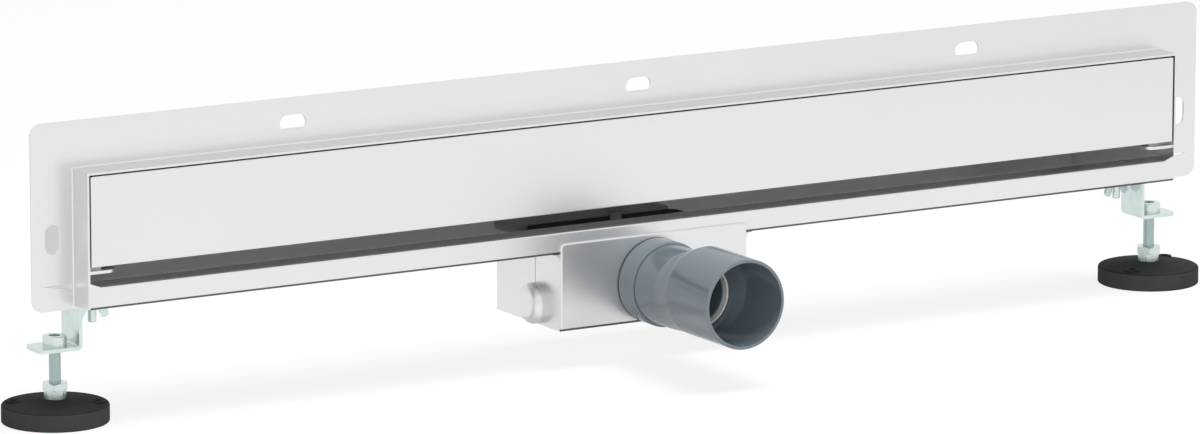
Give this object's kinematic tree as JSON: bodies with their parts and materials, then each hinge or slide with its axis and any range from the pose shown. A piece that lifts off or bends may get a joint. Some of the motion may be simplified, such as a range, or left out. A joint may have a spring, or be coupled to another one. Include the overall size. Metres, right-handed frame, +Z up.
{
  "type": "linear shower drain",
  "caption": "Wall-set linear shower drain: folded steel channel and flange, lift-out cover, siphon box with trap, swivelling plastic outlet and levelling feet.",
  "frame": {"origin": "floor under the feet, midway along the drain and midway between the outlet's mouth and the channel's back", "axes": "+X along the drain to the right as seen from the room, +Y into the wall, +Z up"},
  "size_m": [0.767, 0.165, 0.1655],
  "materials": {
    "steel": "satin stainless sheet",
    "zinc": "bright zinc plated",
    "pipe_plastic": "blue grey moulded PVC, smooth",
    "trap_plastic": "dark moulded plastic",
    "foot_plastic": "black moulded, fine grained",
    "rubber": "matt",
    "pale_rubber": "matt cream"
  },
  "bodies": {
    "drain": {"channel_end_left": "steel", "channel_end_right": "steel", "channel_trough": "steel", "cover_plate": "steel", "cover_stop_left": "steel", "cover_stop_right": "steel", "foot_bracket_left": "zinc", "foot_bracket_right": "zinc", "front_sill": "steel", "outlet_gasket": "rubber", "outlet_ring": "pipe_plastic", "outlet_socket": "pipe_plastic", "outlet_swivel_seal": "rubber", "side_boss": "steel", "siphon_box_front": "steel", "siphon_box_rear": "steel", "stud_left": "zinc", "stud_right": "zinc", "support_tab_left": "steel", "support_tab_right": "steel", "trap_cup": "trap_plastic", "trap_gasket": "rubber", "trap_insert": "trap_plastic", "wall_flange": "steel", "wing_nut_left": "zinc", "wing_nut_right": "zinc"},
    "foot_left": {"levelling_screw_left": "zinc", "lock_nut_left": "zinc", "foot_insert_left": "zinc", "foot_pad_left": "foot_plastic"},
    "foot_right": {"levelling_screw_right": "zinc", "lock_nut_right": "zinc", "foot_insert_right": "zinc", "foot_pad_right": "foot_plastic"},
    "outlet": {"outlet_spigot": "pipe_plastic", "outlet_lip_seal": "pale_rubber"}
  },
  "joints": [
    {"name": "level_left", "type": "slide", "parent": "drain", "child": "foot_left", "axis": [0, 0, 1], "range_m": [0, 0.0179]},
    {"name": "level_right", "type": "slide", "parent": "drain", "child": "foot_right", "axis": [0, 0, 1], "range_m": [0, 0.0179]},
    {"name": "outlet_swivel", "type": "hinge", "parent": "drain", "child": "outlet", "pos_m": [0.0005, -0.00275, 0.0449], "axis": [0, -1, 0], "continuous": true}
  ]
}
